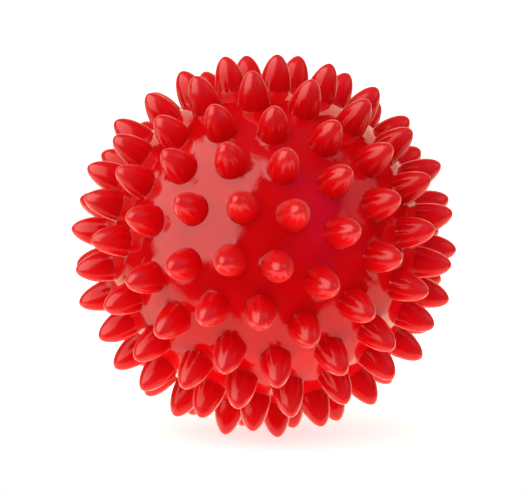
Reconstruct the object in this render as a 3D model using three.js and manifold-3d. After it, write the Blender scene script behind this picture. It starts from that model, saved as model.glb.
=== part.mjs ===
// A spiked therapy ball: a hollow ball of soft glossy vinyl, covered with round-ended spikes.
// Two bowls of one pattern are bonded rim to rim, a soft grommet sits in the back bowl's pole,
// and a pull-out plug in the grommet keeps the air in.
//
// Each bowl is drawn with its pole on +Z and its rim on the plane z = 0. The whole ball is then turned
// so that it stands on three spike tips, with the side that is usually shown facing -Y.

import * as THREE from 'three';
import { mergeVertices } from 'three/addons/utils/BufferGeometryUtils.js';
import Module from 'manifold-3d';

const wasm = await Module();
wasm.setup();

// Driving dimensions, in millimetres

const SHELL_DIAMETER = 74.2;
const WALL = 2.6;
const SPIKE_HEIGHT = 7.9; // from the shell to the tip
const SPIKE_DIAMETER = 7.3;
const SPIKE_SINK = 0.5; // a spike is widest this far under the shell's surface
const CLEARANCE = 0.3; // between any two pieces

const LAP = 2.4; // how far the front bowl's lip reaches into the back bowl

const FLANGE_DIAMETER = 10.4;
const FLANGE_THICKNESS = 1.5;
const FLANGE_EDGE = 0.4; // the chamfer round the flange
const NECK_DIAMETER = 6.8;
const COLLAR_DIAMETER = 8.6; // inside the ball, behind the wall
const COLLAR_THICKNESS = 1.2;
const GROMMET_LENGTH = 9.5;
const SOCKET_DIAMETER = 3.8;

const PLUG_HEAD_DIAMETER = 6.4;
const PLUG_HEAD_THICKNESS = 1.4;
const PLUG_HEAD_EDGE = 0.35;
const PLUG_RECESS = 0.6; // how deep the head sits in the flange
const PLUG_STEM_LENGTH = 7.6;
const PLUG_TAPER = 0.35; // how much the stem's radius shrinks over its lower half

// Layout of the spikes on one bowl: ring by ring from the pole, at nearly equal angles down to the rim

const SPIKES_PER_RING = [1, 6, 12, 17, 19, 20];
const RING_SHIFT = [0, 0, 0, 0, 1.5, 0.75]; // degrees that a ring lies past its equal place
const FRONT_TURN = [0, -2, 3, -1.5, 0.5, -0.5]; // degrees from the bowl's start line to a ring's first spike
const BACK_TURN = [0, -2, 0, -1.5, -1.5, 1]; // the same on the back bowl, from a mould of its own
const HALF_TWIST = 96; // degrees between the two bowls' start lines

// How the ball lies: the front bowl's spikes that touch the ground, and the direction that faces -Y

const FEET = [[2, 2], [3, 2], [3, 3]]; // each one's ring, and its place on that ring
const FACING_POLAR = 55.7; // degrees from the front bowl's pole
const FACING_TURN = 217.8; // degrees from the front bowl's start line

// Finishes: bright red gloss on the shells, duller on the grommet, off-white on the plug

const SHELL_FINISH = { color: 0xcc0609, roughness: 0.12, metalness: 0 };
const GROMMET_FINISH = { color: 0xb80508, roughness: 0.35, metalness: 0 };
const PLUG_FINISH = { color: 0xece8de, roughness: 0.4, metalness: 0 };

// Facets

const SHELL_SIDES = 36;
const SHELL_RINGS = 8; // from pole to rim
const SPIKE_SIDES = 8;
const SPIKE_RINGS = 3; // from root to tip
const VALVE_SIDES = 24;

// Sizes that follow

const SHELL_RADIUS = SHELL_DIAMETER / 2;
const CAVITY_RADIUS = SHELL_RADIUS - WALL;
const RIM = CLEARANCE / 2;
const RING_COUNT = SPIKES_PER_RING.length;
const RING_STEP = 180 / (2 * RING_COUNT - 1); // the two bowls' rings share the half turn evenly
const OVERRUN = 2 * WALL; // how far a cutter reaches past what it cuts
const WELD_DISTANCE = 1e-4;

const radians = THREE.MathUtils.degToRad;

// Turning a geometry into a solid for joining and cutting, and back

function solidOf(geometry) {
  const bare = geometry.clone();
  bare.deleteAttribute('normal');
  bare.deleteAttribute('uv');
  const welded = mergeVertices(bare, WELD_DISTANCE);
  const corners = welded.index.array;
  const triangles = [];
  for (let i = 0; i < corners.length; i += 3) {
    const [a, b, c] = corners.slice(i, i + 3);
    if (a !== b && b !== c && c !== a) triangles.push(a, b, c);
  }
  return new wasm.Manifold(
    new wasm.Mesh({
      numProp: 3,
      vertProperties: new Float32Array(welded.attributes.position.array),
      triVerts: new Uint32Array(triangles),
    }),
  );
}

function geometryOf(solid) {
  const mesh = solid.getMesh();
  const geometry = new THREE.BufferGeometry();
  geometry.setAttribute('position', new THREE.Float32BufferAttribute(mesh.vertProperties, 3));
  geometry.setIndex(new THREE.Uint32BufferAttribute(mesh.triVerts, 1));
  geometry.computeVertexNormals();
  return geometry;
}

// A profile of [radius, height] points, spun about Z

function turned(profile, sides) {
  const points = profile.map(([radius, height]) => new THREE.Vector2(radius, height));
  return new THREE.LatheGeometry(points, sides).rotateX(Math.PI / 2);
}

// Points on a quarter round from the given height up to the pole

function dome(radius, from, steps) {
  const low = Math.asin(from / radius);
  return Array.from({ length: steps + 1 }, (_, i) => {
    const angle = THREE.MathUtils.lerp(low, Math.PI / 2, i / steps);
    return [i === steps ? 0 : radius * Math.cos(angle), radius * Math.sin(angle)];
  });
}

// Spikes: half an ellipse spun about its long axis, sunk into the middle of the wall

function spikeProfile() {
  const width = SPIKE_DIAMETER / 2;
  const length = SPIKE_HEIGHT + SPIKE_SINK;
  const widest = SHELL_RADIUS - SPIKE_SINK;
  const root = SHELL_RADIUS - WALL / 2;
  const side = Array.from({ length: SPIKE_RINGS + 1 }, (_, i) => {
    const angle = (i / SPIKE_RINGS) * (Math.PI / 2);
    return [i === SPIKE_RINGS ? 0 : width * Math.cos(angle), widest + length * Math.sin(angle)];
  });
  return [[0, root], [width, root], ...side];
}

function ringPolar(ring) {
  return ring * RING_STEP + RING_SHIFT[ring];
}

function spikeTurns(ring, firstTurn) {
  const count = SPIKES_PER_RING[ring];
  return Array.from({ length: count }, (_, i) => firstTurn[ring] + (i * 360) / count);
}

function spike(polar, turn) {
  return turned(spikeProfile(), SPIKE_SIDES).rotateY(radians(polar)).rotateZ(radians(turn));
}

function spikesFrom(firstRing, firstTurn) {
  const spikes = [];
  for (let ring = firstRing; ring < RING_COUNT; ring += 1) {
    for (const turn of spikeTurns(ring, firstTurn)) spikes.push(spike(ringPolar(ring), turn));
  }
  return spikes;
}

// Bowls: a solid half ball with its spikes, then hollowed
// The front bowl's inner half of the wall runs on as a lip, and the back bowl has the groove for it.

const LIP_RADIUS = SHELL_RADIUS - WALL / 2 - CLEARANCE / 2;
const GROOVE_RADIUS = LIP_RADIUS + CLEARANCE;
const GROOVE_DEPTH = LAP + CLEARANCE;

function frontBowl() {
  const outside = turned(
    [[0, -LAP], [LIP_RADIUS, -LAP], [LIP_RADIUS, RIM], ...dome(SHELL_RADIUS, RIM, SHELL_RINGS)],
    SHELL_SIDES,
  );
  const hollow = turned(
    [[0, -LAP - OVERRUN], [CAVITY_RADIUS, -LAP - OVERRUN], ...dome(CAVITY_RADIUS, 0, SHELL_RINGS)],
    SHELL_SIDES,
  );
  return spikesFrom(0, FRONT_TURN)
    .reduce((bowl, one) => bowl.add(solidOf(one)), solidOf(outside))
    .subtract(solidOf(hollow));
}

function backBowl() {
  const outside = turned([[0, RIM], ...dome(SHELL_RADIUS, RIM, SHELL_RINGS)], SHELL_SIDES);
  const hollow = turned(
    [
      [0, RIM - OVERRUN],
      [GROOVE_RADIUS, RIM - OVERRUN],
      [GROOVE_RADIUS, GROOVE_DEPTH],
      ...dome(CAVITY_RADIUS, GROOVE_DEPTH, SHELL_RINGS),
    ],
    SHELL_SIDES,
  );
  return spikesFrom(1, BACK_TURN)
    .reduce((bowl, one) => bowl.add(solidOf(one)), solidOf(outside))
    .subtract(solidOf(hollow))
    .subtract(solidOf(valveHole()));
}

// Valve at the back bowl's pole: a stepped hole, a grommet that grips the wall, and the plug

const FLANGE_TOP = SHELL_RADIUS;
const FLANGE_BOTTOM = FLANGE_TOP - FLANGE_THICKNESS;
const FLANGE_RADIUS = FLANGE_DIAMETER / 2;
const NECK_RADIUS = NECK_DIAMETER / 2;
const COLLAR_RADIUS = COLLAR_DIAMETER / 2;
const COLLAR_TOP = Math.sqrt(CAVITY_RADIUS ** 2 - COLLAR_RADIUS ** 2) - CLEARANCE;
const SOCKET_RADIUS = SOCKET_DIAMETER / 2;
const HEAD_RADIUS = PLUG_HEAD_DIAMETER / 2;
const RECESS_RADIUS = HEAD_RADIUS + CLEARANCE;
const RECESS_FLOOR = FLANGE_TOP - PLUG_RECESS;

function valveHole() {
  const seat = FLANGE_BOTTOM - CLEARANCE;
  return turned(
    [
      [0, COLLAR_TOP - OVERRUN],
      [NECK_RADIUS + CLEARANCE, COLLAR_TOP - OVERRUN],
      [NECK_RADIUS + CLEARANCE, seat],
      [FLANGE_RADIUS + CLEARANCE, seat],
      [FLANGE_RADIUS + CLEARANCE, FLANGE_TOP + OVERRUN],
      [0, FLANGE_TOP + OVERRUN],
    ],
    VALVE_SIDES,
  );
}

function grommet() {
  const end = FLANGE_TOP - GROMMET_LENGTH;
  const collarBottom = COLLAR_TOP - COLLAR_THICKNESS;
  return turned(
    [
      [SOCKET_RADIUS, end],
      [NECK_RADIUS, end],
      [NECK_RADIUS, collarBottom],
      [COLLAR_RADIUS, collarBottom],
      [COLLAR_RADIUS, COLLAR_TOP],
      [NECK_RADIUS, COLLAR_TOP],
      [NECK_RADIUS, FLANGE_BOTTOM],
      [FLANGE_RADIUS, FLANGE_BOTTOM],
      [FLANGE_RADIUS, FLANGE_TOP - FLANGE_EDGE],
      [FLANGE_RADIUS - FLANGE_EDGE, FLANGE_TOP],
      [RECESS_RADIUS, FLANGE_TOP],
      [RECESS_RADIUS, RECESS_FLOOR],
      [SOCKET_RADIUS, RECESS_FLOOR],
      [SOCKET_RADIUS, end],
    ],
    VALVE_SIDES,
  );
}

function plug() {
  const underHead = RECESS_FLOOR + CLEARANCE;
  const top = underHead + PLUG_HEAD_THICKNESS;
  const stemRadius = SOCKET_RADIUS - CLEARANCE;
  const stemEnd = underHead - PLUG_STEM_LENGTH;
  return turned(
    [
      [0, stemEnd],
      [stemRadius - PLUG_TAPER, stemEnd],
      [stemRadius, stemEnd + PLUG_STEM_LENGTH / 2],
      [stemRadius, underHead],
      [HEAD_RADIUS, underHead],
      [HEAD_RADIUS, top - PLUG_HEAD_EDGE],
      [HEAD_RADIUS - PLUG_HEAD_EDGE, top],
      [0, top],
    ],
    VALVE_SIDES,
  );
}

// Pieces: a solid with its own material

function piece(name, solid, finish) {
  const mesh = new THREE.Mesh(geometryOf(solid), new THREE.MeshStandardMaterial(finish));
  mesh.name = name;
  return mesh;
}

// How the ball is turned: its three feet set the upright, and the facing direction sets -Y

function direction(polar, turn) {
  return new THREE.Vector3(0, 0, 1).applyEuler(new THREE.Euler(0, radians(polar), radians(turn), 'ZYX'));
}

function restingTurn() {
  const [a, b, c] = FEET.map(([ring, place]) => direction(ringPolar(ring), spikeTurns(ring, FRONT_TURN)[place]));
  const up = b.clone().sub(a).cross(c.clone().sub(a)).normalize();
  if (up.dot(a) > 0) up.negate();
  const back = direction(FACING_POLAR, FACING_TURN).projectOnPlane(up).normalize().negate();
  const right = back.clone().cross(up);
  return new THREE.Matrix4().makeBasis(right, back, up).transpose();
}

// Assembly

const frontHalf = new THREE.Group();
frontHalf.add(piece('front_half_shell', frontBowl(), SHELL_FINISH));

const backHalf = new THREE.Group();
backHalf.add(
  piece('back_half_shell', backBowl(), SHELL_FINISH),
  piece('valve_grommet', solidOf(grommet()), GROMMET_FINISH),
  piece('valve_plug', solidOf(plug()), PLUG_FINISH),
);
backHalf.rotation.set(Math.PI, 0, radians(HALF_TWIST), 'ZYX');

const ball = new THREE.Group();
ball.add(frontHalf, backHalf);
ball.applyMatrix4(restingTurn());

export default ball;
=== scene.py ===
# %% [markdown]
# # A spiked therapy ball
# The object is a hollow ball of soft, glossy red vinyl, covered with round-ended massage spikes. It
# is taken to be two bowls of nearly one pattern, bonded rim to rim, and at the back a soft grommet
# holds a pull-out air plug. The lesson builds the two bowls, the grommet and the plug over the
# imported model, gives each a finish, and lights them.

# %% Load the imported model
from math import acos, asin, cos, pi, radians, sin, sqrt

import bmesh
import bpy
from mathutils import Matrix, Vector
from mathutils.geometry import delaunay_2d_cdt


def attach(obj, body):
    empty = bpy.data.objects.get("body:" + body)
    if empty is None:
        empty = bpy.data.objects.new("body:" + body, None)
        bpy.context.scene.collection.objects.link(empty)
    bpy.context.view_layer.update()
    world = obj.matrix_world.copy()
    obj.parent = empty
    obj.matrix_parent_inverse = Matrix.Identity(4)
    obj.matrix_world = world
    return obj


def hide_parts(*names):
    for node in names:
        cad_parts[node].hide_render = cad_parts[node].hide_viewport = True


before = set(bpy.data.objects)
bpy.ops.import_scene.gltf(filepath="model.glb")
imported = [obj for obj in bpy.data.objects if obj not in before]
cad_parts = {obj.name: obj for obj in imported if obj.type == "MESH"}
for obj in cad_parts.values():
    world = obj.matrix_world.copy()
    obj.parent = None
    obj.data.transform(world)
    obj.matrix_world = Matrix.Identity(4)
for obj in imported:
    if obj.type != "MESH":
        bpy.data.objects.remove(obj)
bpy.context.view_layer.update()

# %% [markdown]
# ## Sizes
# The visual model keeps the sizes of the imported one, in metres, so that every piece fits where its
# solid is. What follows from another size is worked out from it, and isn't typed in again.

# %% Sizes of the ball and its valve
MM = 0.001

SHELL_RADIUS = 37.1 * MM
WALL = 2.6 * MM
SPIKE_HEIGHT = 7.9 * MM
SPIKE_RADIUS = 3.65 * MM
SPIKE_SINK = 0.5 * MM  # a spike is widest this far under the shell's surface
CLEARANCE = 0.3 * MM
LAP = 2.4 * MM  # how far the front bowl's lip reaches into the back bowl

FLANGE_RADIUS = 5.2 * MM
FLANGE_THICKNESS = 1.5 * MM
NECK_RADIUS = 3.4 * MM
COLLAR_RADIUS = 4.3 * MM
COLLAR_THICKNESS = 1.2 * MM
GROMMET_LENGTH = 9.5 * MM
SOCKET_RADIUS = 1.9 * MM
PLUG_HEAD_RADIUS = 3.2 * MM
PLUG_HEAD_THICKNESS = 1.4 * MM
PLUG_RECESS = 0.6 * MM
PLUG_STEM_LENGTH = 7.6 * MM
PLUG_TAPER = 0.35 * MM
PLUG_DIMPLE = 0.2 * MM

TIP_RADIUS = SHELL_RADIUS + SPIKE_HEIGHT
CAVITY_RADIUS = SHELL_RADIUS - WALL
LIP_RADIUS = SHELL_RADIUS - WALL / 2 - CLEARANCE / 2
GROOVE_RADIUS = LIP_RADIUS + CLEARANCE
GROOVE_DEPTH = LAP + CLEARANCE
print(f"ball over the tips: {2 * TIP_RADIUS / MM:.1f} mm")

# %% [markdown]
# ## Where the spikes stand
# On the real ball the spikes stand in rings round a pole, 1, 6, 12, 17, 19 and 20 to a ring, at
# nearly equal steps, and the second bowl repeats the pattern from its own starts, a little turned.
# They could be picked from the photograph one by one. A rule is better: it is short, and it also
# gives the side that the photograph doesn't show. Each bowl is drawn with its pole on +Z.

# %% Spike places on one bowl
SPIKES_PER_RING = [1, 6, 12, 17, 19, 20]
RING_SHIFT = [0, 0, 0, 0, 1.5, 0.75]  # degrees that a ring lies past its equal place
FRONT_TURN = [0, -2, 3, -1.5, 0.5, -0.5]  # degrees from the start line to a ring's first spike
BACK_TURN = [0, -2, 0, -1.5, -1.5, 1]  # the same on the back bowl, from a mould of its own
RING_STEP = 180 / (2 * len(SPIKES_PER_RING) - 1)  # degrees; the bowls share the half turn evenly


def direction(polar, turn):
    """The unit vector at these angles in degrees, from the pole and from the start line."""
    p, t = radians(polar), radians(turn)
    return Vector((sin(p) * cos(t), sin(p) * sin(t), cos(p)))


def ring_directions(ring, first_turn):
    count, polar = SPIKES_PER_RING[ring], ring * RING_STEP + RING_SHIFT[ring]
    return [direction(polar, first_turn[ring] + i * 360 / count) for i in range(count)]


def spike_directions(first_ring, first_turn):
    rings = range(first_ring, len(SPIKES_PER_RING))
    return [d for ring in rings for d in ring_directions(ring, first_turn)]


FRONT_SPIKES = spike_directions(0, FRONT_TURN)
BACK_SPIKES = spike_directions(1, BACK_TURN)  # the valve takes the place of the pole's spike
print("spikes:", len(FRONT_SPIKES), "on the front bowl,", len(BACK_SPIKES), "on the back bowl")

# %% [markdown]
# ## How the ball lies
# The ball stands on three spike tips. It could be turned by eye until it looks right. But three
# tips decide how such a ball stands, so the plane through them gives the upright, and the direction
# that the photograph looks at gives the turn about it. The two matrices below take each bowl to its
# place in the shared frame.

# %% From a bowl's own axes to the ball's place
FEET = [(2, 2), (3, 2), (3, 3)]  # each foot's ring, and its place on that ring
FACING = direction(55.7, 217.8)  # the side of the front bowl that the photograph looks at
HALF_TWIST = radians(96)  # how far the bowls are turned against each other


def resting_turn():
    a, b, c = [ring_directions(ring, FRONT_TURN)[place] for ring, place in FEET]
    up = (b - a).cross(c - a).normalized()
    if up.dot(a) > 0:
        up.negate()
    back = -(FACING - up * FACING.dot(up)).normalized()
    right = back.cross(up)
    return Matrix((right, back, up)).to_4x4()


FRONT_PLACE = resting_turn()
BACK_PLACE = FRONT_PLACE @ Matrix.Rotation(HALF_TWIST, 4, "Z") @ Matrix.Rotation(pi, 4, "X")
GROUND = min((FRONT_PLACE @ d).z for d in FRONT_SPIKES) * TIP_RADIUS
valve_axis = BACK_PLACE.to_3x3() @ Vector((0, 0, 1))
print("valve axis:", [round(x, 4) for x in valve_axis], "ground:", round(GROUND / MM, 2), "mm")

# %% [markdown]
# ## Formulas in node trees
# Shapes in Geometry Nodes and finishes in shader nodes are both built from nodes, and a long
# formula soon takes dozens of them. They could be added one by one. The small class here lets
# Python's own +, -, * and / add the Math nodes, so that a formula in a tree still reads like one.

# %% A field that adds its own Math nodes


class Field:
    """A value in a node tree, which may differ from point to point."""

    def __init__(self, tree, source):
        self.tree, self.source = tree, source

    def into(self, socket):
        self.tree.links.new(self.source, socket)

    def math(self, operation, *others):
        inputs = dict(enumerate((self, *others)))
        return add_node(self.tree, "ShaderNodeMath", "Value", inputs, operation=operation)

    def __add__(self, other):
        return self.math("ADD", other)

    def __sub__(self, other):
        return self.math("SUBTRACT", other)

    def __mul__(self, other):
        return self.math("MULTIPLY", other)

    def __truediv__(self, other):
        return self.math("DIVIDE", other)

    def between(self, start, end):
        """From start at 0 to end at 1."""
        return start + (end - start) * self


def add_node(tree, kind, output, inputs=None, **settings):
    """One output of a new node, as a field. Its inputs take fields or plain values."""
    made = tree.nodes.new(kind)
    for name, value in settings.items():
        setattr(made, name, value)
    for name, value in (inputs or {}).items():
        if isinstance(value, Field):
            value.into(made.inputs[name])
        else:
            made.inputs[name].default_value = value
    return Field(tree, made.outputs[output])


print("fields are ready")

# %% [markdown]
# ## One spike, and all of them
# A spike is a half ellipse, drawn to a slightly slimmer tip, spun about its long axis, with a small
# fillet where it grows out of the skin. It could be modelled by hand and copied. Here a grid is
# bent into that shape by a formula: one way of the grid runs from the tip down the side and out
# along the fillet, and the other runs round. The tree puts a copy on every place, stands it up
# along the ball's radius, and lets the soft tips lean by a hair, as moulded ones do.

# %% The tree's inputs
SPIKE_INPUTS = {
    "Shell Radius": SHELL_RADIUS,
    "Spike Height": SPIKE_HEIGHT,
    "Spike Radius": SPIKE_RADIUS,
    "Spike Sink": SPIKE_SINK,
    "Fillet": 0.06 * MM,
    "Lean": 0.25 * MM,
    "Point": 1.1,  # 1 gives half an ellipse, and more gives a slimmer tip
}
SPIKE_COUNTS = {"Sides": 28, "Side Steps": 9, "Fillet Steps": 2, "Seed": 7}

spike_tree = bpy.data.node_groups.new("spikes_on_places", "GeometryNodeTree")
for in_out in ("INPUT", "OUTPUT"):
    spike_tree.interface.new_socket("Geometry", in_out=in_out, socket_type="NodeSocketGeometry")
for names, kind in (
    (SPIKE_INPUTS, "NodeSocketFloat"),
    (SPIKE_COUNTS, "NodeSocketInt"),
    (["Material"], "NodeSocketMaterial"),
):
    for name in names:
        spike_tree.interface.new_socket(name, in_out="INPUT", socket_type=kind)
group_in = spike_tree.nodes.new("NodeGroupInput")


def given(name):
    return Field(spike_tree, group_in.outputs[name])


def added(kind, output, inputs=None, **settings):
    return add_node(spike_tree, kind, output, inputs, **settings)


print("tree inputs:", [s.name for s in group_in.outputs if s.name])

# %% Places on the grid
shell, height, width = given("Shell Radius"), given("Spike Height"), given("Spike Radius")
sink, fillet, point = given("Spike Sink"), given("Fillet"), given("Point")
side_steps, fillet_steps = given("Side Steps"), given("Fillet Steps")
length = height + sink
widest = shell - sink
steps = side_steps + fillet_steps

grid_inputs = {
    "Size X": 1,
    "Size Y": 1,
    "Vertices X": steps + 1,
    "Vertices Y": given("Sides") + 1,
}
grid = added("GeometryNodeMeshGrid", "Mesh", grid_inputs)
position = added("GeometryNodeInputPosition", "Position")
step = (added("ShaderNodeSeparateXYZ", "X", {"Vector": position}) + 0.5) * steps
around = (added("ShaderNodeSeparateXYZ", "Y", {"Vector": position}) + 0.5) * (2 * pi)
print("the grid takes", len(spike_tree.nodes), "nodes")

# %% The spike's outline as a formula
drop = (width + fillet) * (width + fillet) / ((shell + fillet) * 2)  # the shell's fall by there
start = ((sink + fillet - drop) / length).math("ARCSINE")
start_out = start.math("COSINE").math("POWER", point) * width
start_up = widest + start.math("SINE") * length
lean_up = start.math("SINE") * point / length
lean_out = start.math("COSINE") / width
steepness = lean_up.math("ARCTAN2", lean_out)
centre_out = start_out + steepness.math("COSINE") * fillet
centre_up = start_up + steepness.math("SINE") * fillet
centre_reach = (centre_out * centre_out + centre_up * centre_up).math("SQRT")

side_share = (step / side_steps).math("MINIMUM", 1.0)
angle = side_share * (start - pi / 2) + pi / 2
side_out = angle.math("COSINE").math("MAXIMUM", 0.0).math("POWER", point) * width
side_up = widest + angle.math("SINE") * length

fillet_share = ((step - side_steps) / fillet_steps).math("MAXIMUM", 0.0)
turn = fillet_share.between(steepness + pi, centre_up.math("ARCTAN2", centre_out) + pi)
reach = fillet_share.between(fillet, centre_reach - shell)
in_fillet = step.math("GREATER_THAN", side_steps)
out = in_fillet.between(side_out, centre_out + turn.math("COSINE") * reach)
up = in_fillet.between(side_up, centre_up + turn.math("SINE") * reach)

bent = {"X": out * around.math("COSINE"), "Y": out * around.math("SINE"), "Z": up - shell}
bent_place = added("ShaderNodeCombineXYZ", "Vector", bent)
one_spike = added("GeometryNodeSetPosition", "Geometry", {"Geometry": grid, "Position": bent_place})
print("with the outline it takes", len(spike_tree.nodes), "nodes")

# %% Standing the spikes on their places
upright = added("FunctionNodeAlignRotationToVector", "Rotation", {"Vector": position}, axis="Z")
standing = {"Points": given("Geometry"), "Instance": one_spike, "Rotation": upright}
copies = added("GeometryNodeInstanceOnPoints", "Instances", standing)

VECTORS = {"data_type": "FLOAT_VECTOR"}
any_way = {"Min": (-1, -1, -1), "Seed": given("Seed")}
wander = added("FunctionNodeRandomValue", "Value", any_way, **VECTORS)
lean_of_each = {"Geometry": copies, "Name": "lean", "Value": wander}
kept = added(
    "GeometryNodeStoreNamedAttribute", "Geometry", lean_of_each, domain="INSTANCE", **VECTORS
)
real = added("GeometryNodeRealizeInstances", "Geometry", {"Geometry": kept})
print("with the copies it takes", len(spike_tree.nodes), "nodes")

# %% Leaning the tips and closing the tree
WELD_DISTANCE = 0.001 * MM

from_middle = added("ShaderNodeVectorMath", "Value", {0: position}, operation="LENGTH")
rise = ((from_middle - shell) / height).math("MAXIMUM", 0.0)
own_lean = added("GeometryNodeInputNamedAttribute", "Attribute", {"Name": "lean"}, **VECTORS)
lean_share = {0: own_lean, "Scale": rise * rise * given("Lean")}
push = added("ShaderNodeVectorMath", "Vector", lean_share, operation="SCALE")
leaning = added("GeometryNodeSetPosition", "Geometry", {"Geometry": real, "Offset": push})

welding = {"Geometry": leaning, "Distance": WELD_DISTANCE}
welded = added("GeometryNodeMergeByDistance", "Geometry", welding)
painting = {"Geometry": welded, "Material": given("Material")}
painted = added("GeometryNodeSetMaterial", "Geometry", painting)
painted.into(spike_tree.nodes.new("NodeGroupOutput").inputs["Geometry"])
print("the whole tree takes", len(spike_tree.nodes), "nodes")

# %% [markdown]
# ## Finishes from noise
# No moulded surface is quite even: its colour, gloss and height all wander a little. An image could
# hold that, but a ball has no seam-free flat map to paint on. Noise on Object coordinates runs
# through a piece as through something solid, and the helpers here stretch it to the range that a
# colour, a gloss or a bump needs.

# %% Helpers for finishes
NOISE_MIDDLE = (0.3, 0.7)  # most of a noise lies between these


def new_material(name):
    """A material, its shader's inputs, and the place on the object as a field."""
    material = bpy.data.materials.new(name)
    material.use_nodes = True
    tree = material.node_tree
    place = add_node(tree, "ShaderNodeTexCoord", "Object")
    return material, tree.nodes["Principled BSDF"].inputs, place


def noise(place, size, detail=2.0):
    """Noise whose blotches are about this size in metres."""
    inputs = {"Vector": place, "Scale": 1 / size, "Detail": detail}
    return add_node(place.tree, "ShaderNodeTexNoise", "Fac", inputs)


def stretched(source, first, last, low, high, easing="LINEAR"):
    """From low to high, as the source goes from first to last."""
    inputs = {"Value": source, "From Min": first, "From Max": last, "To Min": low, "To Max": high}
    return add_node(source.tree, "ShaderNodeMapRange", "Result", inputs, interpolation_type=easing)


def ranged(source, low, high):
    """The middle of a noise stretched to low and high."""
    return stretched(source, *NOISE_MIDDLE, low, high)


def mixed(share, first, second, kind="FLOAT"):
    inputs = {"Factor": share, "A": first, "B": second}
    return add_node(share.tree, "ShaderNodeMix", "Result", inputs, data_type=kind)


def two_tone(source, first, second):
    """A colour that wanders between two, with a noise."""
    return mixed(ranged(source, 0, 1), (*first, 1), (*second, 1), "RGBA")


def bumped(source, depth, under=None):
    """A bump of this depth, on top of another one if that is given."""
    inputs = {"Height": source, "Distance": depth}
    if under:
        inputs["Normal"] = under
    return add_node(source.tree, "ShaderNodeBump", "Normal", inputs)


print("a noise is used from", *NOISE_MIDDLE)

# %% [markdown]
# ## Red vinyl
# The skin is soft vinyl from a polished mould: a deep, even red with a clear gloss. A close look
# shows that the gloss isn't perfect: the soft skin waves and ripples a little, so reflected edges
# wander, and the red is a touch deeper in some places. The spikes are painted a shade lighter than
# the skin: painted light, for the light that the thin spikes catch and let through. They are also
# softer in gloss. Their sides mirror less than the skin does, their tips mirror more than their
# sides and carry a slight bloom, and faint streaks run up to the tips, as if drawn from the mould.
# Skin and spikes could have a finish each, with a border between them. One finish is better,
# because the distance from the ball's centre says how far up a spike a point lies, and all can
# change softly.

# %% The red vinyl's colour
SKIN_REDS = ((0.54, 0.0012, 0.0022), (0.60, 0.0016, 0.0034))
# painted light: the spikes' reds are a shade lighter than the skin's, for the light the spikes catch
# and let through
LIT_SPIKE_REDS = ((0.61, 0.0012, 0.0024), (0.67, 0.0016, 0.0036))
BLOTCH_SIZE = 14 * MM

red_vinyl, shader, place = new_material("red_vinyl")
from_centre = add_node(place.tree, "ShaderNodeVectorMath", "Value", {0: place}, operation="LENGTH")


def up_spike(first, last, low=0.0, high=1.0):
    """From low to high between these two shares of a spike's height."""
    ends = [SHELL_RADIUS + share * SPIKE_HEIGHT for share in (first, last)]
    return stretched(from_centre, *ends, low, high, "SMOOTHSTEP")


blotches = noise(place, BLOTCH_SIZE)
reds = [two_tone(blotches, *pair) for pair in (SKIN_REDS, LIT_SPIKE_REDS)]
# painted light: from the foot up, the spikes take the lighter reds
mixed(up_spike(0.0, 0.4), *reds, "RGBA").into(shader["Base Color"])
print("red vinyl:", len(place.tree.nodes), "nodes for its colour")

# %% The red vinyl's gloss
SKIN_ROUGHNESS = (0.05, 0.10)
SIDE_ROUGHNESS = (0.12, 0.16)
TIP_ROUGHNESS = (0.2, 0.28)
CLOUD_SIZE = 5 * MM
STREAK_SIZE = 0.9 * MM  # across, at the tips
SKIN_SHINE, SIDE_SHINE, TIP_SHINE = 0.5, 0.22, 0.42  # the tip's is added to the side's
SIDE_BLOOM, TIP_BLOOM = 0.05, 0.7

outward = add_node(
    place.tree, "ShaderNodeVectorMath", "Vector", {0: place}, operation="NORMALIZE"
)
drawn = noise(outward, STREAK_SIZE / TIP_RADIUS, 3.0)  # the same all the way up, so it streaks
skin_gloss = ranged(noise(place, CLOUD_SIZE), *SKIN_ROUGHNESS)
side_gloss, tip_gloss = ranged(drawn, *SIDE_ROUGHNESS), ranged(drawn, *TIP_ROUGHNESS)
spike_gloss = mixed(up_spike(0.4, 0.9), side_gloss, tip_gloss)
mixed(up_spike(0.0, 0.1), skin_gloss, spike_gloss).into(shader["Roughness"])

shine = up_spike(0.0, 0.1, SKIN_SHINE, SIDE_SHINE) + up_spike(0.4, 0.95, 0.0, TIP_SHINE)
shine.into(shader["Specular IOR Level"])
shader["IOR"].default_value = 1.53
up_spike(0.3, 0.9, SIDE_BLOOM, TIP_BLOOM).into(shader["Sheen Weight"])
shader["Sheen Roughness"].default_value = 0.3
shader["Sheen Tint"].default_value = (1.0, 0.55, 0.42, 1)
print("red vinyl:", len(place.tree.nodes), "nodes with its gloss")

# %% The red vinyl's waves, streaks and softness
SKIN_BUMPS = {  # the size of each noise, its detail and its depth
    "waves": (8 * MM, 1.0, 0.09 * MM),
    "ripples": (2.5 * MM, 2.0, 0.045 * MM),
    "grain": (0.7 * MM, 3.0, 0.008 * MM),
}
STREAK_DEPTH = 0.04 * MM

surface = None
for size, detail, depth in SKIN_BUMPS.values():
    surface = bumped(noise(place, size, detail), depth, under=surface)
streaks = drawn * up_spike(0.65, 1.0)
bumped(streaks, STREAK_DEPTH, under=surface).into(shader["Normal"])
shader["Subsurface Weight"].default_value = 0.15
shader["Subsurface Radius"].default_value = (1.0, 0.12, 0.08)
shader["Subsurface Scale"].default_value = 1.5 * MM
print("red vinyl:", len(place.tree.nodes), "nodes in all, bumps:", *SKIN_BUMPS, "and streaks")

# %% [markdown]
# ## The bowls
# Each half of the real ball is a bowl: a skin with its spikes on the outside, a rim that laps over
# the other bowl's rim, and a smooth hollow. The spikes could be joined to a half ball by a boolean,
# but that leaves slivers that spoil the gloss round every spike. Here the skin is woven between the
# spikes instead: the half ball is laid flat as a round map, the fillets' outer rings are drawn on
# it, and the area between them is filled with even triangles.

# %% Spikes of one bowl, from the tree


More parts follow.
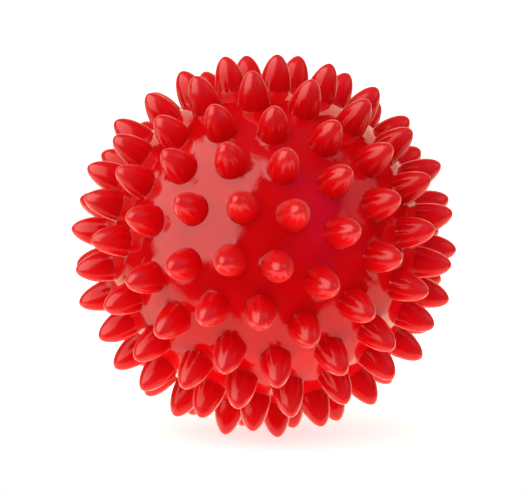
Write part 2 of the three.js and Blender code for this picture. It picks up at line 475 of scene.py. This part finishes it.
def bowl_spikes(name, directions):
    """A mesh of all the spikes, open underneath, in the bowl's own axes."""
    places = bpy.data.meshes.new(name)
    places.from_pydata([d * SHELL_RADIUS for d in directions], [], [])
    holder = bpy.data.objects.new(name, places)
    bpy.context.scene.collection.objects.link(holder)
    modifier = holder.modifiers.new("spikes", "NODES")
    modifier.node_group = spike_tree
    items = spike_tree.interface.items_tree
    sockets = {s.name: s.identifier for s in items if s.in_out == "INPUT"}
    for key, value in {**SPIKE_INPUTS, **SPIKE_COUNTS, "Material": red_vinyl}.items():
        modifier[sockets[key]] = value
    graph = bpy.context.evaluated_depsgraph_get()
    mesh = bpy.data.meshes.new_from_object(holder.evaluated_get(graph))
    bpy.data.objects.remove(holder)
    return mesh


front_spike_mesh = bowl_spikes("front_spikes", FRONT_SPIKES)
back_spike_mesh = bowl_spikes("back_spikes", BACK_SPIKES)
print("faces on the front bowl's spikes:", len(front_spike_mesh.polygons))

# %% Rings of points round the pole
RING_SIDES = 120


def ring_points(radius, z, sides=RING_SIDES):
    angles = [2 * pi * i / sides for i in range(sides)]
    return [Vector((radius * cos(a), radius * sin(a), z)) for a in angles]


def new_ring(bm, radius, z):
    return [bm.verts.new(p) for p in ring_points(radius, z)]


def round_pairs(ring):
    """Each point of a ring with the next one, all the way round."""
    return zip(ring, ring[1:] + ring[:1])


def bridge(bm, first, second):
    for (a, b), (c, d) in zip(round_pairs(first), round_pairs(second)):
        bm.faces.new((a, b, d, c))


def arc(radius, low, high, steps):
    """(radius, z) points on a circle, between two angles above the rim."""
    angles = [low + (high - low) * i / steps for i in range(steps + 1)]
    return [(radius * cos(a), radius * sin(a)) for a in angles]


print("a ring has", RING_SIDES, "points")

# %% Points of the skin
SKIN_SPACING = 1.5 * MM
FOOT_MARGIN = 0.8 * MM  # no skin point nearer to a fillet's ring than this
RIM_MARGIN = 1.0 * MM


def skin_points(directions, foot, hole):
    """Evenly spread points on the half ball, clear of the spikes, the rim and the hole."""
    points = []
    rows = round(pi / 2 * SHELL_RADIUS / SKIN_SPACING)
    for row in range(rows + 1):
        polar = 90 * row / rows
        count = max(1, round(2 * pi * SHELL_RADIUS * sin(radians(polar)) / SKIN_SPACING))
        for i in range(count):
            d = direction(polar, 360 * (i + 0.5 * (row % 2)) / count)
            nearest = min(acos(min(1.0, d.dot(s))) for s in directions) * SHELL_RADIUS
            clear_of_spikes = nearest > foot + FOOT_MARGIN
            clear_of_pole = radians(polar) * SHELL_RADIUS > hole + FOOT_MARGIN or not hole
            if clear_of_spikes and clear_of_pole and d.z * SHELL_RADIUS > RIM_MARGIN:
                points.append(d * SHELL_RADIUS)
    return points


print("skin spacing:", SKIN_SPACING / MM, "mm")

# %% Skin between the spikes
MAP_TOLERANCE = 1e-8  # points of the flat map nearer than this count as one


def flat_place(v):
    """A point of the half ball on a round flat map, seen from the far pole."""
    d = v.co.normalized()
    return Vector((d.x, d.y)) / (1 + d.z)


def weave_skin(bm, directions, rim, hole):
    """Fills the half ball between the spikes' rings, the rim and the hole, if there is one."""
    edges = [e for e in bm.edges if e.is_boundary]
    feet = list(dict.fromkeys(v for e in edges for v in e.verts))  # each once, in a fixed order
    nearness = [max(v.co.normalized().dot(d) for d in directions) for v in feet]
    foot = acos(min(1.0, min(nearness))) * SHELL_RADIUS
    owner = {v: max(range(len(directions)), key=lambda i: v.co.dot(directions[i])) for v in feet}
    owner.update({v: -1 for v in hole})
    hole_radius = hole[0].co.xy.length if hole else 0
    loose = [bm.verts.new(p) for p in skin_points(directions, foot, hole_radius)]

    points = feet + rim + hole + loose
    index = {v: i for i, v in enumerate(points)}
    fixed = [[index[v] for v in e.verts] for e in edges]
    for ring in (rim, hole):
        fixed += [[index[a], index[b]] for a, b in round_pairs(ring)]
    flat = [flat_place(v) for v in points]
    _, _, faces, origins, _, _ = delaunay_2d_cdt(flat, fixed, [], 0, MAP_TOLERANCE)
    for face in faces:
        corners = [points[origins[i][0]] for i in face]
        if len({owner.get(v, v) for v in corners}) > 1:  # not inside one spike's ring or the hole
            bm.faces.new(corners)
    return len(loose), foot


print("map tolerance:", MAP_TOLERANCE)

# %% From a mesh to a piece
SHARP_DEGREES = 40


def finish_piece(name, bm, place, material):
    """Takes a closed mesh to its place in the shared frame, as a smooth piece of its own."""
    bm.transform(place)
    open_edges = sum(1 for e in bm.edges if not e.is_manifold)
    mesh = bpy.data.meshes.new(name)
    bm.to_mesh(mesh)
    bm.free()
    mesh.materials.append(material)
    mesh.polygons.foreach_set("use_smooth", [True] * len(mesh.polygons))
    mesh.set_sharp_from_angle(angle=radians(SHARP_DEGREES))
    piece = bpy.data.objects.new(name, mesh)
    bpy.context.scene.collection.objects.link(piece)
    mesh.calc_loop_triangles()
    print(name, len(mesh.loop_triangles), "triangles,", open_edges, "open edges")
    return piece


print("edges stay smooth up to", SHARP_DEGREES, "degrees")

# %% The two bowls as closed meshes
SEAM = 0.004 * MM  # half the hair line between the bowls
HOLLOW_STEPS = 24
HOLLOW_TOP = radians(87)  # the front bowl's last ring inside, before the pole


def start_bowl(spike_mesh):
    bm = bmesh.new()
    bm.from_mesh(spike_mesh)
    return bm, new_ring(bm, sqrt(SHELL_RADIUS**2 - SEAM**2), SEAM)


def lathe_inside(bm, first, profile, last=None):
    """Rings along the profile from the first ring to the last one, or to a closed pole."""
    ring = first
    for radius, z in profile:
        following = new_ring(bm, radius, z)
        bridge(bm, ring, following)
        ring = following
    if last:
        bridge(bm, ring, last)
    else:
        pole = bm.verts.new((0, 0, CAVITY_RADIUS))
        for a, b in round_pairs(ring):
            bm.faces.new((a, b, pole))
    bmesh.ops.recalc_face_normals(bm, faces=bm.faces)


def front_bowl():
    bm, rim = start_bowl(front_spike_mesh)
    print("front skin points and foot radius:", weave_skin(bm, FRONT_SPIKES, rim, []))
    lip = [(LIP_RADIUS, SEAM), (LIP_RADIUS, -LAP), (CAVITY_RADIUS, -LAP)]
    lathe_inside(bm, rim, lip + arc(CAVITY_RADIUS, 0, HOLLOW_TOP, HOLLOW_STEPS))
    return finish_piece("front_bowl", bm, FRONT_PLACE, red_vinyl)


def back_bowl():
    bm, rim = start_bowl(back_spike_mesh)
    hole_radius, neck_hole = FLANGE_RADIUS + CLEARANCE, NECK_RADIUS + CLEARANCE
    seat = SHELL_RADIUS - FLANGE_THICKNESS - CLEARANCE
    hole = new_ring(bm, hole_radius, sqrt(SHELL_RADIUS**2 - hole_radius**2))
    print("back skin points and foot radius:", weave_skin(bm, BACK_SPIKES, rim, hole))
    groove = [(GROOVE_RADIUS, SEAM), (GROOVE_RADIUS, GROOVE_DEPTH)]
    low, high = asin(GROOVE_DEPTH / CAVITY_RADIUS), acos(neck_hole / CAVITY_RADIUS)
    hollow = arc(CAVITY_RADIUS, low, high, HOLLOW_STEPS)
    lathe_inside(bm, rim, groove + hollow + [(neck_hole, seat), (hole_radius, seat)], hole)
    return finish_piece("back_bowl", bm, BACK_PLACE, red_vinyl)


front = front_bowl()
back = back_bowl()

# %% [markdown]
# ## The valve
# At the back bowl's pole a soft grommet grips the wall between a flange and a collar, and a plug
# with a flat head closes it. Both are turned shapes. A Screw modifier could spin them. A few lines
# of mesh code do it as well, and a bevel then rounds every edge, because moulded vinyl has none
# that is sharp. Their finish is duller than the ball's, and the plug's is off-white.

# %% Turned pieces
VALVE_SIDES = 64
EDGE_ROUND = 0.14 * MM
EDGE_STEPS = 3
EDGE_ANGLE = radians(25)  # a sharper bend than this is rounded


def turned(name, profile, place, material, closed):
    """(radius, z) points spun about Z; closed means a ring, which doesn't touch the axis."""
    bm = bmesh.new()
    rings = [[bm.verts.new(p) for p in ring_points(r, z, VALVE_SIDES)] for r, z in profile]
    for first, second in round_pairs(rings) if closed else zip(rings, rings[1:]):
        bridge(bm, first, second)
    if not closed:
        bm.faces.new(rings[0])
        bm.faces.new(rings[-1])
    bmesh.ops.recalc_face_normals(bm, faces=bm.faces)
    bmesh.ops.bevel(
        bm,
        geom=[e for e in bm.edges if e.calc_face_angle(0) > EDGE_ANGLE],
        offset=EDGE_ROUND,
        segments=EDGE_STEPS,
        profile=0.5,
        affect="EDGES",
        clamp_overlap=True,
    )
    return finish_piece(name, bm, place, material)


print("turned pieces have", VALVE_SIDES, "sides")

# %% Finishes of the valve
SMUDGE_SIZE = 1 * MM
VALVE_GRAIN_DEPTH = 0.01 * MM


def valve_finish(name, tint_size, tints, roughness, grain_size):
    material, shader, place = new_material(name)
    two_tone(noise(place, tint_size), *tints).into(shader["Base Color"])
    ranged(noise(place, SMUDGE_SIZE), *roughness).into(shader["Roughness"])
    bumped(noise(place, grain_size, 3.0), VALVE_GRAIN_DEPTH).into(shader["Normal"])
    return material


GROMMET_REDS = ((0.46, 0.002, 0.003), (0.52, 0.003, 0.004))
PLUG_WHITES = ((0.80, 0.77, 0.70), (0.86, 0.83, 0.76))
grommet_vinyl = valve_finish("grommet_vinyl", 3 * MM, GROMMET_REDS, (0.32, 0.42), 0.3 * MM)
plug_vinyl = valve_finish("plug_vinyl", 2 * MM, PLUG_WHITES, (0.36, 0.46), 0.25 * MM)
print("valve finishes:", grommet_vinyl.name, "and", plug_vinyl.name)

# %% Grommet and plug
FLANGE_BOTTOM = SHELL_RADIUS - FLANGE_THICKNESS
COLLAR_TOP = sqrt(CAVITY_RADIUS**2 - COLLAR_RADIUS**2) - CLEARANCE
COLLAR_BOTTOM = COLLAR_TOP - COLLAR_THICKNESS
GROMMET_END = SHELL_RADIUS - GROMMET_LENGTH
RECESS_RADIUS = PLUG_HEAD_RADIUS + CLEARANCE
RECESS_FLOOR = SHELL_RADIUS - PLUG_RECESS
UNDER_HEAD = RECESS_FLOOR + CLEARANCE
HEAD_TOP = UNDER_HEAD + PLUG_HEAD_THICKNESS
STEM_RADIUS = SOCKET_RADIUS - CLEARANCE
STEM_END = UNDER_HEAD - PLUG_STEM_LENGTH

grommet_profile = [
    (SOCKET_RADIUS, GROMMET_END),
    (NECK_RADIUS, GROMMET_END),
    (NECK_RADIUS, COLLAR_BOTTOM),
    (COLLAR_RADIUS, COLLAR_BOTTOM),
    (COLLAR_RADIUS, COLLAR_TOP),
    (NECK_RADIUS, COLLAR_TOP),
    (NECK_RADIUS, FLANGE_BOTTOM),
    (FLANGE_RADIUS, FLANGE_BOTTOM),
    (FLANGE_RADIUS, SHELL_RADIUS),
    (RECESS_RADIUS, SHELL_RADIUS),
    (RECESS_RADIUS, RECESS_FLOOR),
    (SOCKET_RADIUS, RECESS_FLOOR),
]
plug_profile = [
    (STEM_RADIUS - PLUG_TAPER, STEM_END),
    (STEM_RADIUS, STEM_END + PLUG_STEM_LENGTH / 2),
    (STEM_RADIUS, UNDER_HEAD),
    (PLUG_HEAD_RADIUS, UNDER_HEAD),
    (PLUG_HEAD_RADIUS, HEAD_TOP),
    (PLUG_HEAD_RADIUS / 2, HEAD_TOP),
    (PLUG_HEAD_RADIUS / 4, HEAD_TOP - PLUG_DIMPLE),
]
grommet = turned("grommet", grommet_profile, BACK_PLACE, grommet_vinyl, True)
plug = turned("plug", plug_profile, BACK_PLACE, plug_vinyl, False)

# %% [markdown]
# ## Riding on the imported model
# Every piece takes the place of one imported solid and moves with its body: the plug pulls out, and
# the rest is the ball. The pieces could be parented by hand.

# %% Ride and replace
for piece, body, node, slot in (
    (front, "ball", "front_half_shell", "red_vinyl"),
    (back, "ball", "back_half_shell", "red_vinyl"),
    (grommet, "ball", "valve_grommet", "grommet_vinyl"),
    (plug, "plug", "valve_plug", "plug_vinyl"),
):
    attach(piece, body)
    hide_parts(node)
    print(piece.name, "rides on", body)

# %% [markdown]
# ## Camera
# The photograph was taken from far away with a long lens, a little above the ball's middle. The
# camera could be framed by eye. Here its height angle, its distance and a small tilt were fitted to
# the spike tips in the photograph, and it is slid until the ball's centre lies where it does there.

# %% Camera at the photograph's place
IMAGE_WIDTH = 524
SENSOR_WIDTH = 36  # Blender takes this and the lens in millimetres
CAMERA_HEIGHT_ANGLE = radians(5.66)
CAMERA_DISTANCE = 577 * MM
CAMERA_NEAR = 10 * MM
CAMERA_ROLL = radians(0.35)
FOCAL_PIXELS = 2476
SLIDE_PIXELS = (2.0, 0.9)  # the ball's centre lies this far right of and above the picture's middle

back_way = Vector((0, -cos(CAMERA_HEIGHT_ANGLE), sin(CAMERA_HEIGHT_ANGLE)))
level_right = Vector((1, 0, 0))
level_up = back_way.cross(level_right)
cam_right = level_right * cos(CAMERA_ROLL) + level_up * sin(CAMERA_ROLL)
cam_up = back_way.cross(cam_right)
pixel = CAMERA_DISTANCE / FOCAL_PIXELS

camera_data = bpy.data.cameras.new("camera")
camera_data.sensor_width = SENSOR_WIDTH
camera_data.lens = FOCAL_PIXELS * SENSOR_WIDTH / IMAGE_WIDTH
camera_data.clip_start = CAMERA_NEAR
camera = bpy.data.objects.new("camera", camera_data)
slide = cam_right * SLIDE_PIXELS[0] * pixel + cam_up * SLIDE_PIXELS[1] * pixel
camera.matrix_world = Matrix.LocRotScale(
    back_way * CAMERA_DISTANCE - slide,
    Matrix((cam_right, cam_up, back_way)).transposed().to_quaternion(),
    None,
)
bpy.context.scene.collection.objects.link(camera)
bpy.context.scene.camera = camera
print(f"lens {camera_data.lens:.1f} mm")

# %% [markdown]
# ## Floor and surroundings
# The ball lies on a white sheet that sweeps up behind it. A white room round it would be simpler,
# but the whole ball would mirror it, and the photograph shows dark between the reflections. So the
# room is dark, and only to the camera are the sheet and the room white, which adds no light to the
# ball. In the gloss, the ball's front mirrors the dark room, and its edge mirrors the backdrop,
# which is dim and warm there. The floor takes the ball's shadow, but it is kept out of reflections
# and lets light through from below, because low lamps stand for the pale table there.

# %% White sheet with a sweep
SHEET_FRONT = -0.062
SHEET_BACK = 0.12  # where the floor ends and the backdrop begins
SHEET_SIDE = 1.2
SWEEP_START = 1.0
SWEEP_RADIUS = 0.4
SWEEP_TOP = 1.4
SWEEP_STEPS = 12


def sheet(name, outline):
    """A wide sheet along an outline of (y, z) points."""
    mesh = bpy.data.meshes.new(name)
    mesh.from_pydata(
        [(x, y, z) for y, z in outline for x in (-SHEET_SIDE, SHEET_SIDE)],
        [],
        [(2 * i, 2 * i + 1, 2 * i + 3, 2 * i + 2) for i in range(len(outline) - 1)],
    )
    mesh.polygons.foreach_set("use_smooth", [True] * len(mesh.polygons))
    made = bpy.data.objects.new(name, mesh)
    bpy.context.scene.collection.objects.link(made)
    print(name, len(mesh.polygons), "faces")
    return made


bend = [radians(90 * i / SWEEP_STEPS) for i in range(SWEEP_STEPS + 1)]
sweep = [
    (SWEEP_START + SWEEP_RADIUS * sin(a), GROUND + SWEEP_RADIUS * (1 - cos(a))) for a in bend
]
wall_top = (SWEEP_START + SWEEP_RADIUS, SWEEP_TOP)
floor = sheet("floor", [(SHEET_FRONT, GROUND), (SHEET_BACK, GROUND)])
backdrop = sheet("backdrop", [(SHEET_BACK, GROUND), *sweep, wall_top])
floor.visible_glossy = False
floor.visible_shadow = False  # lets the low lamps through; the ball's shadow still falls on it

# %% White paper, a little brighter to the camera
PAPER_WHITES = ((0.90, 0.79, 0.66), (0.93, 0.82, 0.70))
FIBRE_SIZE = 0.6 * MM
CAMERA_GLOW = 0.66
MIRRORED_GLOW = 0.3
WHITE = (1, 1, 1, 1)
MIRRORED_TINT = (1.0, 0.66, 0.36, 1)

white_paper, shader, place = new_material("white_paper")
two_tone(noise(place, FIBRE_SIZE, 4.0), *PAPER_WHITES).into(shader["Base Color"])
shader["Roughness"].default_value = 0.9
shader["Specular IOR Level"].default_value = 0.1
seen = add_node(place.tree, "ShaderNodeLightPath", "Is Camera Ray")
mirrored = add_node(place.tree, "ShaderNodeLightPath", "Is Glossy Ray")
mixed(mirrored, WHITE, MIRRORED_TINT, "RGBA").into(shader["Emission Color"])
(seen * CAMERA_GLOW + mirrored * MIRRORED_GLOW).into(shader["Emission Strength"])
for made in (floor, backdrop):
    made.data.materials.append(white_paper)
print("white paper:", len(place.tree.nodes), "nodes")

# %% Dark room, white to the camera
ROOM_LIGHT = 0.68  # what the room adds to the shade, but not to reflections

world = bpy.data.worlds.new("room")
world.use_nodes = True
bpy.context.scene.world = world
room = world.node_tree
seen = add_node(room, "ShaderNodeLightPath", "Is Camera Ray")
shade = add_node(room, "ShaderNodeLightPath", "Is Diffuse Ray")
background = room.nodes["Background"].inputs
background["Color"].default_value = WHITE
(shade * ROOM_LIGHT + seen).into(background["Strength"])
print("room light:", ROOM_LIGHT)

# %% [markdown]
# ## Light
# A large soft panel on the left makes the broad pale reflection, and a small dim one on the right
# the faint second one. A cool panel on the right and a dim one overhead give the faint violet
# there. The low panels stand for the pale table, which the ball's underside mirrors. The fills only
# lift the shade: they are kept out of reflections, because the photograph shows no trace of them
# there. The last lamp lights the sheet alone. One large lamp would be plainer, but each reflection
# in the photograph has its own place, size and colour, and a lamp for each can be fitted to it.

# %% A soft panel
MIDDLE = 0.5  # of a panel's width or height


def soften(data, share):
    """Lets a panel's light fade towards its edges, over this share of its width and height."""
    data.use_nodes = True
    tree = data.node_tree
    spot = add_node(tree, "ShaderNodeNewGeometry", "Parametric")
    fades = []
    for way in "XY":
        across = add_node(tree, "ShaderNodeSeparateXYZ", way, {"Vector": spot})
        off_middle = (across - MIDDLE).math("ABSOLUTE")
        fades.append(stretched(off_middle, MIDDLE - share, MIDDLE, 1, 0, "SMOOTHSTEP"))
    (fades[0] * fades[1]).into(tree.nodes["Emission"].inputs["Strength"])


def panel(
    name,
    azimuth,
    elevation,
    distance,
    size,
    level,
    roll=0.0,
    edge=0.0,
    colour=(1, 1, 1),
    mirrored=True,
    spread=True,
    lights=None,
):
    """A soft panel that faces the ball. Azimuth 0 is towards the camera and 90 is to the right.

    A panel that isn't mirrored only lifts the shade, and one that isn't spread is only mirrored.
    """
    a, e = radians(azimuth), radians(elevation)
    away = Vector((sin(a) * cos(e), -cos(a) * cos(e), sin(e)))
    data = bpy.data.lights.new(name, "AREA")
    data.shape = "RECTANGLE"
    data.size, data.size_y = size
    data.energy = level * pi * size[0] * size[1]
    data.color = colour
    if edge:
        soften(data, edge)
    lamp = bpy.data.objects.new(name, data)
    facing = away.to_track_quat("Z", "Y").to_matrix().to_4x4()
    rolled = facing @ Matrix.Rotation(radians(roll), 4, "Z")
    lamp.matrix_world = Matrix.Translation(away * distance) @ rolled
    lamp.visible_camera = False
    lamp.visible_glossy = mirrored
    lamp.visible_diffuse = spread
    if lights:
        lamp.light_linking.receiver_collection = lights
    bpy.context.scene.collection.objects.link(lamp)
    print(name, f"{data.energy:.2f} W")


print("panels are ready")

# %% Lamps


def group(name, members):
    made = bpy.data.collections.new(name)
    for member in members:
        made.objects.link(member)
    return made


WARM_WHITE = (1.0, 0.96, 0.88)
VIOLET = (0.5, 0.12, 1.0)
LILAC = (0.6, 0.35, 1.0)
TABLE_WHITE = (1.0, 0.93, 0.82)
TABLE_SIDE = (1.0, 0.93, 0.8)
AMBER = (1.0, 0.74, 0.52)

ball_only = group("ball_only", (front, back, grommet, plug))
sheet_only = group("sheet_only", (floor, backdrop))
table = {"spread": False, "lights": ball_only}
fill = {"mirrored": False, "lights": ball_only}

pale_left = {"roll": 10, "edge": 0.12, "colour": WARM_WHITE, "spread": False}
panel("left_panel", -55, 30.5, 0.55, (0.9, 1.05), 2.4, **pale_left)
panel("left_fill", -62, 30, 0.5, (0.8, 0.8), 1.0, mirrored=False)
panel("right_panel", 84, 30, 0.6, (0.5, 0.45), 0.45, edge=0.25)
panel("cool_panel", 44, 24, 0.6, (0.75, 1.0), 0.34, edge=0.5, colour=VIOLET)
panel("top_panel", 0, 80, 0.6, (0.9, 0.9), 0.10, edge=0.3, colour=LILAC)
panel("low_panel", 180, -77, 0.3, (2.1, 0.92), 0.95, edge=0.12, colour=TABLE_WHITE, **table)
panel("low_left_panel", -88, -33, 0.45, (0.45, 0.3), 0.6, edge=0.3, colour=TABLE_SIDE, **table)
panel("low_back_panel", 180, -32, 0.5, (1.6, 0.5), 1.8, edge=0.2, colour=AMBER, **table)
panel("low_fill", 10, -78, 0.7, (0.9, 0.9), 3.4, **fill)
panel("back_fill", 170, 25, 0.9, (0.9, 0.9), 0.6, **fill)
panel("top_fill", 20, 70, 0.9, (1.2, 1.2), 0.8, **fill)
panel("sheet_light", 0, 85, 0.9, (0.5, 0.5), 3.0, mirrored=False, lights=sheet_only)

bpy.context.scene.view_settings.view_transform = "Standard"
